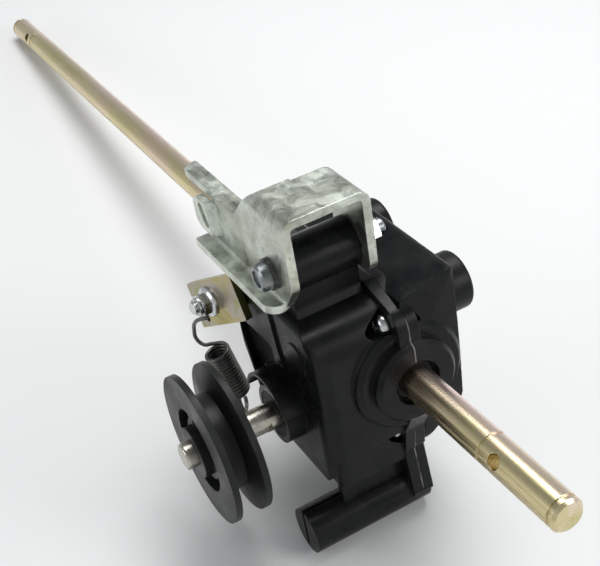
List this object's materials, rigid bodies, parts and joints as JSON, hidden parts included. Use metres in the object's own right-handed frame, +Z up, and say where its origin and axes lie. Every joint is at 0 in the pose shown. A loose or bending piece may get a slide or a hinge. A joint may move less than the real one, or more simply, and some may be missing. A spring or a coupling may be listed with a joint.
{
  "type": "gearbox",
  "caption": "Small worm gearbox in a split black plastic housing, with a long output axle, a belt pulley, a swinging steel bracket on top and a hooked return spring.",
  "frame": {"origin": "middle of the assembly's bounding box, at its base", "axes": "+X along the output axle towards its short end, +Y along the input shaft away from the pulley, +Z up, towards the pivot bracket"},
  "size_m": [0.533, 0.1054, 0.1352],
  "materials": {
    "black_moulding": "fine moulded grain",
    "pulley_plastic": "smooth moulded",
    "yellow_zinc": "yellow passivated zinc, drawn lines",
    "galvanised": "hot dipped, mottled",
    "bright_zinc": "bright zinc",
    "plain_steel": "ground",
    "dark_steel": "phosphated",
    "spring_steel": "drawn wire",
    "bronze": "sintered",
    "seal_rubber": "matt",
    "bronze_wheel": "machined"
  },
  "bodies": {
    "housing": {"housing_front": "black_moulding", "housing_rear": "black_moulding", "housing_screws": "bright_zinc", "housing_nuts": "bright_zinc", "axle_bushes": "bronze", "axle_seals": "seal_rubber", "input_bushes": "bronze", "input_seal": "seal_rubber", "spring_strap": "yellow_zinc", "strap_bolt": "bright_zinc", "strap_nut": "bright_zinc"},
    "axle": {"axle": "yellow_zinc", "axle_rings": "dark_steel", "wheel_washers": "plain_steel", "worm_wheel": "bronze_wheel", "drive_pin": "plain_steel"},
    "input": {"input_shaft": "plain_steel", "pulley": "pulley_plastic"},
    "bracket": {"pivot_bracket": "galvanised", "pivot_bolt": "bright_zinc", "pivot_washers": "dark_steel", "pivot_nut": "bright_zinc", "pivot_sleeve": "plain_steel"},
    "spring": {"tension_spring": "spring_steel"}
  },
  "joints": [
    {"name": "axle_spin", "type": "hinge", "parent": "housing", "child": "axle", "pos_m": [0.1565, 0.02375, 0.0652], "axis": [1, 0, 0], "continuous": true},
    {"name": "input_spin", "type": "hinge", "parent": "housing", "child": "input", "pos_m": [0.1565, 0.00375, 0.051], "axis": [0, 1, 0], "continuous": true},
    {"name": "bracket_pivot", "type": "hinge", "parent": "housing", "child": "bracket", "pos_m": [0.1623, 0.00675, 0.111], "axis": [0, 1, 0], "range_deg": [-3, 30]},
    {"name": "spring_swing", "type": "hinge", "parent": "housing", "child": "spring", "pos_m": [0.11474, -0.01777, 0.07059], "axis": [0.191, -0.9753, 0.1106], "range_deg": [-4, 6]}
  ],
  "couplings": [
    {"joint": "input_spin", "follows": "axle_spin", "ratio": -5}
  ]
}
